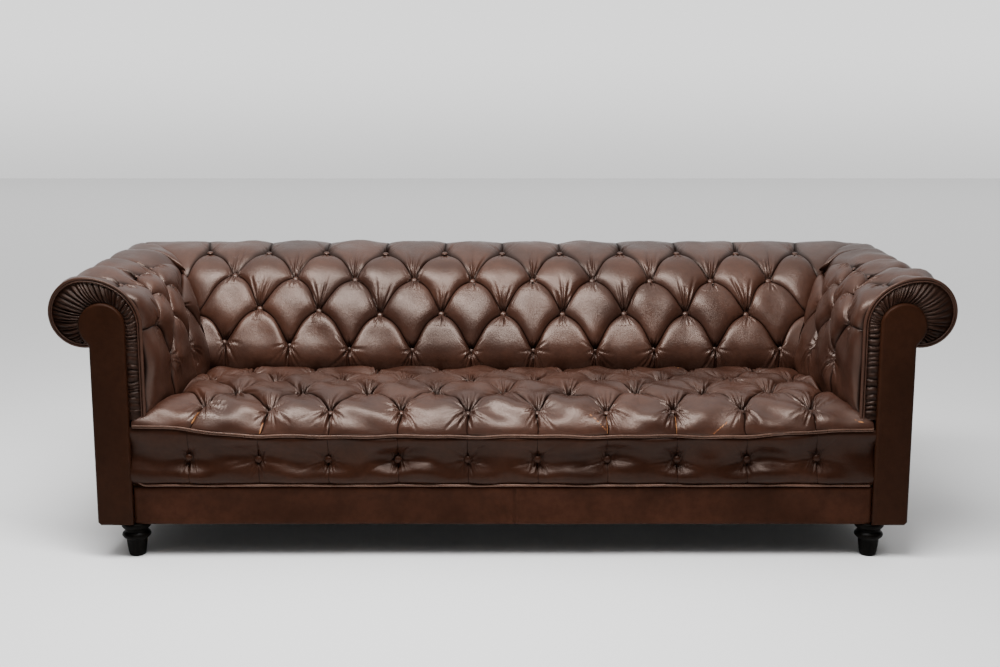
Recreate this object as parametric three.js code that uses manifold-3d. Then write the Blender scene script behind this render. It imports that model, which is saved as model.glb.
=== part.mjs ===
// Deep-buttoned leather sofa with scroll arms, as an assembly of its real pieces: bolted turned feet, a
// wooden seat and back frame, sinuous springs, foam pads for seat, back and arms, the leather-covered
// panels round them, and the scroll facings with their gathered bands and welts.
// Millimetres, +Z up. The sofa faces -Y and its origin is on the floor under the middle of its outline.
import * as THREE from "three";
import { mergeVertices } from "three/addons/utils/BufferGeometryUtils.js";
import Module from "manifold-3d";

const wasm = await Module();
wasm.setup();

// ---- driving dimensions -------------------------------------------------------------------------
const WIDTH = 2400; // over the two arm rolls
const DEPTH = 930; // face of the scroll facings to the back of the back roll
const FRONT = -DEPTH / 2; // y of the face of the scroll facings
const BASE_Z = 95; // underside of the seat frame
const RAIL_TOP = 200;
const PANEL_BACK = FRONT + 811; // y of the outside back's leather
const ROLL_RADIUS = 94; // the padded rolls of the arms and back
const ROLL_Z = 677; // height of the rolls' centres
const ARM_ROLL_X = WIDTH / 2 - ROLL_RADIUS; // the arm roll's centre
const BACK_ROLL_Y = FRONT + DEPTH - ROLL_RADIUS; // the back roll's centre
const CAVITY_RADIUS = 41; // the space inside each roll, where its rail runs
const GAP = 0.3; // between pieces that touch
const POST_BACK = FRONT + 63; // y of the back of the front posts
const SEAT_TOP = 430;
const INNER_ARM_X = 905; // the arm pads' faces at seat level
const FACING_INNER_X = 994;
const FRONT_HALF = FACING_INNER_X - GAP; // half the width of the pieces between the facings
const FACING_OUTER_X = 1090;
const HEAD = { x: 1055, z: 639, r: 61 }; // the round head of a scroll facing

// ---- materials ----------------------------------------------------------------------------------
const finish = (color, roughness, metalness = 0) =>
  new THREE.MeshStandardMaterial({ color, roughness, metalness });
const LEATHER = finish(0x3f2822, 0.42);
const DARK_LEATHER = finish(0x2a1812, 0.45);
const BEECH = finish(0xb98d5f, 0.7);
const PLYWOOD = finish(0xc29c6c, 0.75);
const BLACK_WOOD = finish(0x0d0a09, 0.35);
const STEEL = finish(0x8d8f92, 0.35, 1);
const HESSIAN = finish(0x9a7c50, 0.95);
const CAMBRIC = finish(0x121212, 0.95);

// ---- helpers ------------------------------------------------------------------------------------
const sofa = new THREE.Group();

function add(name, geometry, material) {
  const mesh = new THREE.Mesh(geometry, material);
  mesh.name = name;
  sofa.add(mesh);
  return mesh;
}

// Adds the right-hand piece as it is drawn and the left-hand one as its mirror image.
function addPair(name, geometry, material) {
  add(`right_${name}`, geometry, material);
  add(`left_${name}`, geometry, material).scale.x = -1;
}

// A box between two limits on each axis.
function block([x0, x1], [y0, y1], [z0, z1]) {
  const box = new THREE.BoxGeometry(x1 - x0, y1 - y0, z1 - z0);
  return box.translate((x0 + x1) / 2, (y0 + y1) / 2, (z0 + z1) / 2);
}

const shapeOf = (points) =>
  new THREE.Shape(points.map(([u, v]) => new THREE.Vector2(u, v)));

// An outline in x and z, running from y0 to y1.
function alongY(points, [y0, y1]) {
  const solid = new THREE.ExtrudeGeometry(shapeOf(points), {
    depth: y1 - y0,
    bevelEnabled: false,
  });
  return solid.rotateX(Math.PI / 2).translate(0, y1, 0);
}

// An outline in y and z, running from x0 to x1.
function alongX(points, [x0, x1]) {
  const solid = new THREE.ExtrudeGeometry(shapeOf(points), {
    depth: x1 - x0,
    bevelEnabled: false,
  });
  const turn = new THREE.Matrix4().set(0, 0, 1, 0, 1, 0, 0, 0, 0, 1, 0, 0, 0, 0, 0, 1);
  return solid.applyMatrix4(turn).translate(x0, 0, 0);
}

// An outline in x and y, running from z0 to z1.
const alongZ = (points, [z0, z1]) =>
  new THREE.ExtrudeGeometry(shapeOf(points), {
    depth: z1 - z0,
    bevelEnabled: false,
  }).translate(0, 0, z0);

// Points on an arc of an ellipse, both ends included; the angles are in degrees.
function arc(cx, cy, rx, ry, from, to, steps) {
  return Array.from({ length: steps + 1 }, (_, i) => {
    const angle = THREE.MathUtils.degToRad(from + ((to - from) * i) / steps);
    return [cx + rx * Math.cos(angle), cy + ry * Math.sin(angle)];
  });
}

// Points evenly along a smooth curve through the given ones.
const smooth = (points, steps) =>
  new THREE.SplineCurve(points.map(([u, v]) => new THREE.Vector2(u, v)))
    .getSpacedPoints(steps)
    .map((p) => [p.x, p.y]);

function solidOf(geometry) {
  const bare = geometry.clone().deleteAttribute("normal").deleteAttribute("uv");
  const merged = mergeVertices(bare, 1e-4);
  const vertProperties = new Float32Array(merged.attributes.position.array);
  const triVerts = new Uint32Array(merged.index.array);
  return new wasm.Manifold(new wasm.Mesh({ numProp: 3, vertProperties, triVerts }));
}

function geometryOf(solid) {
  const mesh = solid.getMesh();
  const made = new THREE.BufferGeometry();
  made.setAttribute("position", new THREE.BufferAttribute(mesh.vertProperties, 3));
  made.setIndex(new THREE.BufferAttribute(mesh.triVerts, 1));
  return made;
}

const cut = (geometry, ...tools) =>
  geometryOf(tools.reduce((s, tool) => s.subtract(solidOf(tool)), solidOf(geometry)));
const join = (...parts) =>
  geometryOf(parts.map(solidOf).reduce((a, b) => a.add(b)));
const common = (a, b) => geometryOf(solidOf(a).intersect(solidOf(b)));

// ---- feet: turned and ebonised, each hung on a bolt that runs up into the frame -----------------
const FOOT_X = 998;
const FOOT_FRONT_Y = FRONT + 47;
const FOOT_REAR_Y = PANEL_BACK - 47;
const BOLT_RADIUS = 5;
const BORE_RADIUS = 5.4;
const BOLT_SPAN = [55, BASE_Z + 35];

// An upright cylinder on a foot's axis.
const upright = (radius, [z0, z1], sides) =>
  new THREE.CylinderGeometry(radius, radius, z1 - z0, sides)
    .rotateX(Math.PI / 2)
    .translate(0, 0, (z0 + z1) / 2);
const boltBore = (x, y) =>
  upright(BORE_RADIUS, [BASE_Z - 5, BOLT_SPAN[1] + GAP], 10).translate(x, y, 0);

// Radius and height, from the bore's floor up its wall, over the top and down the turned outside.
const footProfile = [
  [0, BOLT_SPAN[0] - GAP],
  [BORE_RADIUS, BOLT_SPAN[0] - GAP],
  [BORE_RADIUS, BASE_Z - GAP],
  [40, BASE_Z - GAP],
  [41, 88],
  [38, 80],
  [31, 74],
  [33, 68],
  [39, 62],
  [38, 56],
  [29, 51],
  [27, 44],
  [24, 10],
  [22, 3],
  [18, 0],
  [0, 0],
].map(([r, z]) => new THREE.Vector2(r, z));

for (const [end, y] of [["front", FOOT_FRONT_Y], ["rear", FOOT_REAR_Y]]) {
  const foot = new THREE.LatheGeometry(footProfile.toReversed(), 20).rotateX(Math.PI / 2);
  addPair(`${end}_foot`, foot.translate(FOOT_X, y, 0), BLACK_WOOD);
  addPair(`${end}_foot_bolt`, upright(BOLT_RADIUS, BOLT_SPAN, 10).translate(FOOT_X, y, 0), STEEL);
}

// ---- seat frame: rails, cross rails and corner blocks -------------------------------------------
const SIDE_RAIL = [1042, 1080];
const REAR_RAIL = [PANEL_BACK - 58, PANEL_BACK - 6];
const SPRING_RAIL = [FRONT + 515, FRONT + 549];
const RAIL_FACE = FRONT + 20; // y of the front rail's face
const BLOCK_LEG = 75;
const POST_FOOT_X = 976; // the inner edge of the front posts at rail level

add("front_rail", block([-975, 975], [RAIL_FACE, RAIL_FACE + 40], [BASE_Z, RAIL_TOP]), BEECH);
add(
  "rear_rail",
  cut(
    block([-1041.7, 1041.7], REAR_RAIL, [BASE_Z, RAIL_TOP]),
    boltBore(-FOOT_X, FOOT_REAR_Y),
    boltBore(FOOT_X, FOOT_REAR_Y),
  ),
  BEECH,
);
add("spring_rail", block([-1041.7, 1041.7], SPRING_RAIL, [BASE_Z + 25, RAIL_TOP]), BEECH);
addPair(
  "side_rail",
  block(SIDE_RAIL, [POST_BACK + GAP, REAR_RAIL[0] - GAP], [BASE_Z, RAIL_TOP]),
  BEECH,
);
addPair(
  "cross_rail",
  block([315, 385], [RAIL_FACE + 40 + GAP, REAR_RAIL[0] - GAP], [BASE_Z + GAP, BASE_Z + 24.7]),
  BEECH,
);
for (const [end, y, way] of [["front", POST_BACK + 1, 1], ["rear", REAR_RAIL[0] - 1, -1]]) {
  const x = SIDE_RAIL[0] - 1;
  const corner = [[x, y], [x, y + way * BLOCK_LEG], [x - BLOCK_LEG, y]];
  const outline = way > 0 ? corner : corner.toReversed();
  addPair(`${end}_corner_block`, alongZ(outline, [BASE_Z + 28, BASE_Z + 98]), BEECH);
}

// ---- arm frame: scroll-topped front posts, rear posts and rails ---------------------------------
const ARM_RAIL = [1045, 1105];
const TOP_RAIL_Z = [640, 672];
const postHead = arc(HEAD.x, HEAD.z, 35, 35, -30, 180, 12);
const postOutline = [
  [POST_FOOT_X, BASE_Z],
  [SIDE_RAIL[1] + 2, BASE_Z],
  [SIDE_RAIL[1] + 2, 600],
  ...postHead,
  [FACING_INNER_X + 1, RAIL_TOP],
  [POST_FOOT_X, RAIL_TOP],
];
addPair(
  "front_post",
  cut(alongY(postOutline, [FRONT + 22 + GAP, POST_BACK]), boltBore(FOOT_X, FOOT_FRONT_Y)),
  BEECH,
);
addPair("rear_post", block(SIDE_RAIL, REAR_RAIL, [BASE_Z, TOP_RAIL_Z[0] - GAP]), BEECH);
addPair("arm_top_rail", block(ARM_RAIL, [POST_BACK + GAP, BACK_ROLL_Y + 10], TOP_RAIL_Z), BEECH);
addPair(
  "arm_tacking_rail",
  block([992, 1012], [POST_BACK + GAP, SPRING_RAIL[0] + 40], [RAIL_TOP + 35, RAIL_TOP + 100]),
  BEECH,
);

// ---- back frame: plywood gussets, top rail and tacking rail -------------------------------------
// The gusset's outline as depth behind the facings' faces and height.
const gusset = [
  [520, 200.3],
  [804, 200.3],
  [804, 639.7],
  [660, 639.7],
  [610, 575],
  [574, 500],
  [550, 430],
  [527, 330],
].map(([d, z]) => [FRONT + d, z]);
[-900, -225, 225, 900].forEach((x, i) =>
  add(`back_gusset_${i + 1}`, alongX(gusset, [x - 11, x + 11]), PLYWOOD),
);
add("back_top_rail", block([-1044.7, 1044.7], [FRONT + 768, FRONT + 818], TOP_RAIL_Z), BEECH);
add("back_tacking_rail", block([-914, 914], [FRONT + 500, FRONT + 519.7], [246, 316]), BEECH);

// ---- seat suspension: sinuous wire springs under a hessian sheet --------------------------------
const SPRINGS = 8;
const SPRING_PITCH = 225;
const SPRING_HALF_WAVES = 11;
const SPRING_SWING = 24; // half the width of a spring's loops
const SPRING_CROWN = 22; // how far a spring arches up
const WIRE = 2;

class SinuousCurve extends THREE.Curve {
  getPoint(t, target = new THREE.Vector3()) {
    const start = RAIL_FACE + 18;
    const swing = SPRING_SWING * Math.sin(Math.PI * SPRING_HALF_WAVES * t);
    const y = start + (SPRING_RAIL[0] + 16 - start) * t;
    return target.set(swing, y, RAIL_TOP + WIRE + 0.8 + SPRING_CROWN * Math.sin(Math.PI * t));
  }
}
const wire = shapeOf(arc(0, 0, WIRE, WIRE, 0, 300, 5));
const spring = new THREE.ExtrudeGeometry(wire, {
  steps: SPRING_HALF_WAVES * 4,
  extrudePath: new SinuousCurve(),
});
for (let i = 0; i < SPRINGS; i += 1) {
  const x = (i - (SPRINGS - 1) / 2) * SPRING_PITCH;
  add(`seat_spring_${i + 1}`, spring, STEEL).position.x = x;
}
add("seat_hessian", block([-900, 900], [FRONT + 50, SPRING_RAIL[0] - 5], [236, 238]), HESSIAN);

// ---- seat: a buttoned cushion over the springs, a padded border in front and welts between ------
// The cushion's section as y and z; its front overhangs the border, and two ears fill the corners by
// the facings.
const seatSection = [
  [FRONT + 47, 242],
  [FRONT + 450, 242],
  [FRONT + 450, 330],
  [FRONT + 464, 412],
  [FRONT + 440, SEAT_TOP],
  [FRONT + 110, SEAT_TOP],
  ...arc(FRONT + 80, 350, 77, 76, 80, 180, 7),
  [FRONT + 3, 347],
  [FRONT + 47, 347],
];
const seatEars = block([-FRONT_HALF, FRONT_HALF], [FRONT + 3, FRONT + 30.5], [347, 385]);
add("seat_cushion", join(alongX(seatSection, [10 - INNER_ARM_X, INNER_ARM_X - 10]), seatEars), LEATHER);

const borderSection = [
  [FRONT + 32, 209.5],
  [FRONT + 32, 336],
  [FRONT + 10, 336],
  [FRONT + 4, 305],
  [FRONT + 3, 272],
  [FRONT + 4, 240],
  [FRONT + 10, 209.5],
];
add("seat_border", alongX(borderSection.toReversed(), [-FRONT_HALF, FRONT_HALF]), LEATHER);

function welt(radius, length, y, z) {
  const cord = new THREE.CylinderGeometry(radius, radius, length, 10);
  return cord.rotateZ(Math.PI / 2).translate(0, y, z);
}
add("seat_border_welt", welt(4.5, 2 * FRONT_HALF, FRONT + 6, 341.5), DARK_LEATHER);
add("front_rail_welt", welt(4.2, 2 * FRONT_HALF, FRONT + 12, 204.6), DARK_LEATHER);
const coverDepth = [FRONT + 15, RAIL_FACE - GAP];
add("front_rail_cover", block([-FRONT_HALF, FRONT_HALF], coverDepth, [BASE_Z, 199.5]), LEATHER);

// ---- arm and back pads: foam wrapped over the frame into a roll, mitred where they meet ---------
const HOOK = 2; // how far the pads' ends stand off the outside panels

// The faces of the pads that are seen, from seat level up and over the roll, as distance out and height.
const armFace = [
  [INNER_ARM_X, 242],
  [INNER_ARM_X, 420],
  ...arc(ARM_ROLL_X, 600, 183, ROLL_Z + ROLL_RADIUS - 600, 180, 90, 10),
  ...arc(ARM_ROLL_X, ROLL_Z, ROLL_RADIUS, ROLL_RADIUS, 80, -90, 14),
  [FACING_OUTER_X + HOOK, ROLL_Z - ROLL_RADIUS + 4],
];
const armLining = [
  [975, 242],
  [975, 600],
  [990, 655],
  [1040, 702],
  ...arc(ARM_ROLL_X, ROLL_Z, CAVITY_RADIUS, CAVITY_RADIUS, 90, -90, 8),
  [FACING_OUTER_X + HOOK, ROLL_Z - CAVITY_RADIUS],
];
const backFace = [
  ...smooth(
    [[455, 330], [474, 440], [500, 520], [535, 600], [590, 690], [660, 745], [740, 768], [836, 771]],
    14,
  ),
  ...arc(836, ROLL_Z, ROLL_RADIUS, ROLL_RADIUS, 80, -90, 14),
  [811 + HOOK, ROLL_Z - ROLL_RADIUS + 4],
].map(([d, z]) => [FRONT + d, z]);
const backLining = [
  [513, 330],
  [533, 430],
  [556, 500],
  [592, 575],
  [642, 652],
  [700, 700],
  [760, 715],
  ...arc(836, ROLL_Z, CAVITY_RADIUS, CAVITY_RADIUS, 90, -90, 8),
  [811 + HOOK, ROLL_Z - CAVITY_RADIUS],
].map(([d, z]) => [FRONT + d, z]);

// The mitre's line in plan runs from the inner corner of the seat to the outer corner of the rolls.
const miterIn = [INNER_ARM_X, FRONT + 455];
const miterOut = [WIDTH / 2, -FRONT];
const FAR = 1400;
const slope = (miterOut[1] - miterIn[1]) / (miterOut[0] - miterIn[0]);
const miterAt = (x) => miterIn[1] + slope * (x - miterIn[0]);
const armZone = alongZ(
  [[400, -FAR], [FAR, -FAR], [FAR, miterAt(FAR) - GAP], [400, miterAt(400) - GAP]],
  [0, 1000],
);
const backZone = alongZ(
  [
    [-400, miterAt(400) + GAP],
    [400, miterAt(400) + GAP],
    [FAR, miterAt(FAR) + GAP],
    [-FAR, miterAt(FAR) + GAP],
  ],
  [0, 1000],
);
const armPad = alongY([...armFace, ...armLining.toReversed()].toReversed(), [FRONT + 33, -FRONT]);
addPair("arm_pad", common(armPad, armZone), LEATHER);
const backPad = alongX([...backFace, ...backLining.toReversed()].toReversed(), [-WIDTH / 2, WIDTH / 2]);
add("back_pad", common(backPad, backZone), LEATHER);

// ---- scroll fronts: gathered bands round the facings, welts at their rims, and the facings ------
// The welt's line as distance out and height, up the inside of the arm and round the roll.
const weltLine = [
  [962, 388],
  [962, 635],
  ...arc(1104, 635, 142, 122, 170, 90, 9),
  ...arc(1104, 673, 84, 84, 80, -90, 13),
];
const RUCHE_EDGE = 1;
const bandInner = [
  [FACING_INNER_X - RUCHE_EDGE, 388],
  ...arc(HEAD.x, HEAD.z, HEAD.r + RUCHE_EDGE, HEAD.r + RUCHE_EDGE, 180, -50, 22),
  [FACING_OUTER_X + 1.2, 587.4],
];
addPair(
  "scroll_band",
  alongY([...weltLine, ...bandInner.toReversed()].toReversed(), [FRONT + 9, FRONT + 32.5]),
  DARK_LEATHER,
);
const weltPath = new THREE.CatmullRomCurve3(
  [
    [957, 388],
    [957, 500],
    ...arc(1104, 635, 147, 127, 180, 90, 9),
    ...arc(1104, 673, 89, 89, 80, -90, 13),
  ].map(([x, z]) => new THREE.Vector3(x, FRONT + 26, z)),
);
const weltCord = new THREE.ExtrudeGeometry(shapeOf(arc(0, 0, 4, 4, 0, 315, 7)), {
  steps: 48,
  extrudePath: weltPath,
});
addPair("scroll_welt", weltCord, DARK_LEATHER);
addPair(
  "facing",
  alongY(
    [
      [FACING_INNER_X, BASE_Z],
      [FACING_OUTER_X - 8, BASE_Z],
      [FACING_OUTER_X, BASE_Z + 8],
      [FACING_OUTER_X, 588],
      ...arc(HEAD.x, HEAD.z, HEAD.r, HEAD.r, -50, 180, 22),
    ],
    [FRONT, FRONT + 22],
  ),
  DARK_LEATHER,
);

// ---- outside panels: leather over board on the arms and back, and the cloth underneath ----------
addPair(
  "outside_arm",
  block([SIDE_RAIL[1] + 2 + GAP, FACING_OUTER_X + 1], [FRONT + 22 + GAP, PANEL_BACK], [BASE_Z, 580]),
  LEATHER,
);
add("outside_back", block([-1081, 1081], [PANEL_BACK - 5, PANEL_BACK], [BASE_Z, 580]), LEATHER);

const footHoles = [FOOT_FRONT_Y, FOOT_REAR_Y].flatMap((y) =>
  [-FOOT_X, FOOT_X].map((x) =>
    new THREE.CylinderGeometry(50, 50, 20, 16).rotateX(Math.PI / 2).translate(x, y, BASE_Z),
  ),
);
add(
  "bottom_cloth",
  cut(block([-1075, 1075], [FRONT + 25, PANEL_BACK - 8], [BASE_Z - 2, BASE_Z - 0.6]), ...footHoles),
  CAMBRIC,
);

export default sofa;
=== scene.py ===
import math
import bmesh
import bpy
import numpy as np
from mathutils import Matrix, Vector


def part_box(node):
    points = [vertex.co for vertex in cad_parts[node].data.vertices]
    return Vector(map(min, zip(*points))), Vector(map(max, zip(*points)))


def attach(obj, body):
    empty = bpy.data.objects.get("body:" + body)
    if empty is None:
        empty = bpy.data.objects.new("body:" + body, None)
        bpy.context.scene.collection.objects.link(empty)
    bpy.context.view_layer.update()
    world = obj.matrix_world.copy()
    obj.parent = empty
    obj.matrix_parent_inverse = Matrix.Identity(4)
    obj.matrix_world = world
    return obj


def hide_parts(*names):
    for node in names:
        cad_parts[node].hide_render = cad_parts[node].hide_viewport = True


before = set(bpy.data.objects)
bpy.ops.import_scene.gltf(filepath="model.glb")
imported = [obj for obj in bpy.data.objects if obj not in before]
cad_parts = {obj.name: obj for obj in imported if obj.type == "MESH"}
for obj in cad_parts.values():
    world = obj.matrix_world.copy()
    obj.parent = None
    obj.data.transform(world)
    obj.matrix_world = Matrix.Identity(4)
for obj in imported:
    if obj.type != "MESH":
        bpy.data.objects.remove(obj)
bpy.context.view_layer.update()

# ==== Camera ====================================================================
# A 50 mm lens at standing height in front of the sofa's middle, tipped down a little.
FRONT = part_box("left_facing")[0].y
CAMERA_BACK = 3.5876
lens = bpy.data.cameras.new("camera")
lens.lens = 50
camera = bpy.data.objects.new("camera", lens)
bpy.context.collection.objects.link(camera)
camera.location = (-0.0073, FRONT - CAMERA_BACK, 1.2648)
camera.rotation_euler = (math.radians(79.83), 0, 0)
bpy.context.scene.camera = camera


# ==== Studio ====================================================================
# A pale floor in a room that is bright behind the sofa and overhead, and dim on the viewer's side. One soft
# box hangs above the sofa's front, and a larger one lights the floor far behind it.
class Wire:
    """A socket among a material's nodes. Arithmetic on it adds Math nodes, and node() adds any other."""

    def __init__(self, tree, socket=None):
        self.tree = tree
        self.socket = socket

    def node(self, kind, settings=None, inputs=None, output=0):
        made = self.tree.nodes.new(kind)
        for key, value in (settings or {}).items():
            setattr(made, key, value)
        for key, value in (inputs or {}).items():
            if isinstance(value, Wire):
                self.tree.links.new(value.socket, made.inputs[key])
            else:
                made.inputs[key].default_value = value
        return Wire(self.tree, made.outputs[output])

    def math(self, operation, *values):
        return self.node("ShaderNodeMath", {"operation": operation}, dict(enumerate(values)))

    def __add__(self, other):
        return self.math("ADD", self, other)

    def __sub__(self, other):
        return self.math("SUBTRACT", self, other)

    def __mul__(self, other):
        return self.math("MULTIPLY", self, other)

    def __radd__(self, other):
        return self.math("ADD", other, self)

    def __rsub__(self, other):
        return self.math("SUBTRACT", other, self)

    def __rmul__(self, other):
        return self.math("MULTIPLY", other, self)

    def between(self, low, high):
        """0 where this is under low, 1 where it is over high, and a ramp in between."""
        inputs = {"Value": self, "From Min": low, "From Max": high}
        return self.node("ShaderNodeMapRange", {"interpolation_type": "SMOOTHSTEP"}, inputs)

    def mix(self, first, second):
        """The first colour where this is 0 and the second where it is 1."""
        inputs = {0: self, 6: first, 7: second}
        return self.node("ShaderNodeMix", {"data_type": "RGBA"}, inputs, 2)


def rgb(red, green, blue):
    """A colour in linear light from its screen values of 0 to 255."""
    screen = (red, green, blue)
    return tuple(((c / 255 + 0.055) / 1.055) ** 2.4 if c > 10 else c / 3295 for c in screen) + (1,)


def material(name, roughness=0.5, metallic=0.0, **fixed):
    """A new material, its shader and a wire in its tree."""
    made = bpy.data.materials.new(name)
    made.use_nodes = True
    shader = made.node_tree.nodes["Principled BSDF"]
    shader.inputs["Roughness"].default_value = roughness
    shader.inputs["Metallic"].default_value = metallic
    for key, value in fixed.items():
        shader.inputs[key.replace("_", " ")].default_value = value
    return made, shader, Wire(made.node_tree)


def feed(wire, shader, **sockets):
    for key, value in sockets.items():
        wire.tree.links.new(value.socket, shader.inputs[key.replace("_", " ")])


def noise(wire, place, scale, detail=3.0, rough=0.5):
    settings = {"Vector": place, "Scale": scale, "Detail": detail, "Roughness": rough}
    return wire.node("ShaderNodeTexNoise", inputs=settings)


def dress(wire, shader, colour, gloss, height, strength, distance):
    """Gives a shader its colour, its roughness and a bump from a height."""
    bump = {"Strength": strength, "Distance": distance, "Height": height}
    feed(wire, shader, Base_Color=colour, Roughness=gloss, Normal=wire.node("ShaderNodeBump", inputs=bump))


FLOOR_HALF = 15.0
floor_mesh = bmesh.new()
bmesh.ops.create_grid(floor_mesh, x_segments=1, y_segments=1, size=FLOOR_HALF)
floor_data = bpy.data.meshes.new("floor")
floor_mesh.to_mesh(floor_data)
floor = bpy.data.objects.new("floor", floor_data)
bpy.context.collection.objects.link(floor)
floor_paint, floor_shader, wire = material("pale_floor", roughness=0.9)
patches = wire.node("ShaderNodeTexNoise", inputs={"Scale": 0.6, "Detail": 3.0}).between(0.3, 0.7)
feed(wire, floor_shader, Base_Color=patches.mix((0.8, 0.8, 0.8, 1), (0.83, 0.83, 0.83, 1)))
floor_data.materials.append(floor_paint)

world = bpy.data.worlds.new("white_room")
world.use_nodes = True
room = Wire(world.node_tree)
look = room.node("ShaderNodeTexCoord")
away = room.node("ShaderNodeSeparateXYZ", inputs={"Vector": look}, output=1)
upward = room.node("ShaderNodeSeparateXYZ", inputs={"Vector": look}, output=2)
backdrop = (1.0 - upward.between(0.06, 0.12)) * (0.5 + 0.6 * upward.between(-0.08, 0.03))
glow = 0.05 + away.between(-0.1, 0.6) * (0.45 + backdrop) + 1.4 * upward.between(0.55, 0.95)
background = world.node_tree.nodes["Background"]
background.inputs["Color"].default_value = (1, 1, 1, 1)
feed(room, background, Strength=glow)
bpy.context.scene.world = world


def soft_box(name, place, target, size, power):
    lamp = bpy.data.lights.new(name, "AREA")
    lamp.shape = "RECTANGLE"
    lamp.size, lamp.size_y = size
    lamp.energy = power
    made = bpy.data.objects.new(name, lamp)
    bpy.context.collection.objects.link(made)
    made.location = place
    made.rotation_euler = (Vector(target) - Vector(place)).to_track_quat("-Z", "Y").to_euler()


soft_box("top_light", (-0.45, -1.1, 2.7), (0, -0.1, 0.4), (2.6, 0.8), 165)
soft_box("far_light", (0, 10, 5), (0, 10, 0), (24, 12), 420)


# ==== Leather ===================================================================
# Every cover is the same aged brown hide: a soft gloss over a fine pebble grain, worn through to tan where
# it has been rubbed, with painted shade in its folds: darker colour and a dull dark diffuse mixed in there.
# The trim copies are painted darker as shade on the front faces, and the piping lighter as a painted
# highlight along the cord, besides its rubbed wear.
# The colour painted into the folds and crease lines as shade.
PAINTED_FOLD_SHADE = rgb(18, 8, 5)


def leather(name, light, dark, roughness, coat, shine=0.28, worn=0.0):
    made, shader, wire = material(name, roughness, Coat_Weight=coat, Coat_Roughness=0.28)
    shader.inputs["Specular IOR Level"].default_value = shine
    shader.inputs["Specular Tint"].default_value = (1.0, 0.8, 0.7, 1)
    place = wire.node("ShaderNodeTexCoord", output=3)

    def mottle(scale, detail=3.0, rough=0.55):
        return noise(wire, place, scale, detail, rough)

    fold = wire.node("ShaderNodeAttribute", {"attribute_name": "fold"}, output=2)
    wear = worn + wire.node("ShaderNodeAttribute", {"attribute_name": "wear"}, output=2)
    pinch = wire.node("ShaderNodeAttribute", {"attribute_name": "pinch"}, output=2)
    ray = wire.node("ShaderNodeAttribute", {"attribute_name": "ray"}, output=1)
    streaks = noise(wire, ray, 1.0, 1.5)
    lines = pinch * (1.0 - wire.math("ABSOLUTE", streaks - 0.5).between(0.0, 0.05))
    clouds = mottle(5.0).between(0.3, 0.7)
    tone = clouds.mix(dark, light)
    speck = tuple(c * 0.6 for c in dark[:3]) + (1,)
    mottled = (mottle(70.0, 4.0).between(0.35, 0.75) * 0.35).mix(tone, speck)
    # Painted shade: deep in the folds and along the fine crease lines, the colour is darkened towards the
    # fold shade.
    deep = wire.math("MAXIMUM", fold.between(0.35, 1.0) * 0.92, lines * 0.6)
    fold_shaded = deep.mix(mottled, PAINTED_FOLD_SHADE)
    cells = {"feature": "DISTANCE_TO_EDGE"}
    pebbles = wire.node("ShaderNodeTexVoronoi", cells, {"Vector": place, "Scale": 520.0})
    grain = pebbles.between(0.0, 0.25)
    scuffed = (wear + (mottle(160.0, 5.0, 0.7) - 0.5) * 1.3).between(0.4, 0.85)
    scuffed = scuffed * wear.between(0.02, 0.25)
    bare = mottle(60.0).between(0.3, 0.7).mix(rgb(122, 68, 34), rgb(186, 128, 78))
    colour = scuffed.mix(fold_shaded, bare)
    uneven = mottle(14.0, 4.0).between(0.3, 0.75)
    gloss = roughness - 0.06 + uneven * 0.12 + scuffed * 0.25 + fold * 0.05
    creases = mottle(38.0, 6.0, 0.65).between(0.35, 0.7)
    height = grain * 0.00012 + creases * 0.0004 + pinch * (streaks - 0.5) * 0.03 - lines * 0.0016
    dress(wire, shader, colour, gloss, height, 0.55, 1.0)
    # Painted shade: deep in the folds, a dull dark diffuse is mixed over the leather's shader.
    shade = wire.node("ShaderNodeBsdfDiffuse", inputs={"Color": PAINTED_FOLD_SHADE})
    surface = {0: fold.between(0.45, 1.0) * 0.85, 1: Wire(wire.tree, shader.outputs[0]), 2: shade}
    lit = wire.node("ShaderNodeMixShader", inputs=surface)
    wire.tree.links.new(lit.socket, wire.tree.nodes["Material Output"].inputs["Surface"])
    return made


cover_leather = leather("worn_brown_leather", rgb(63, 38, 28), rgb(44, 25, 18), 0.35, 0.0, 0.44)
# Painted shade: the border and the rail are darker copies of the cover leather, standing in for the shade on
# the front faces.
border_leather = leather("border_leather", rgb(46, 25, 16), rgb(34, 17, 10), 0.34, 0.0, 0.15)
rail_leather = leather("rail_leather", rgb(60, 34, 23), rgb(42, 22, 13), 0.5, 0.0, 0.06)
# Partly painted highlight: the piping is a lighter copy of the cover leather, standing in for the highlight
# along the round cords; its added wear is real rubbing.
piping_leather = leather("piping_leather", rgb(92, 66, 54), rgb(66, 44, 34), 0.3, 0.0, 0.34, 0.15)
edge_leather = leather("scroll_edge_leather", rgb(66, 41, 31), rgb(46, 27, 19), 0.36, 0.0, 0.3, 0.24)
band_leather = leather("gathered_band_leather", rgb(60, 38, 29), rgb(42, 24, 16), 0.36, 0.02, 0.25)
# Painted shade: the facings are a darker copy of the cover leather, standing in for the shade on their front
# faces.
shaded_facing_leather = leather("flat_shaded_facing_leather", rgb(44, 23, 13), rgb(36, 18, 9), 0.42, 0.0, 0.06)


# ==== Seat cushion ==============================================================
# A fixed cushion of foam over the springs, covered in one hide that is buttoned down in four rows and
# pleated over its front edge to the welt. Its front corners spread in front of the arms. Its cover, like
# every padded one, is drawn flat first and then laid on its section.
MM = 0.001
MERGE = 0.00005  # points nearer than this become one
LINE_POINTS = 33  # in the line of a pleat or rim


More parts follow.
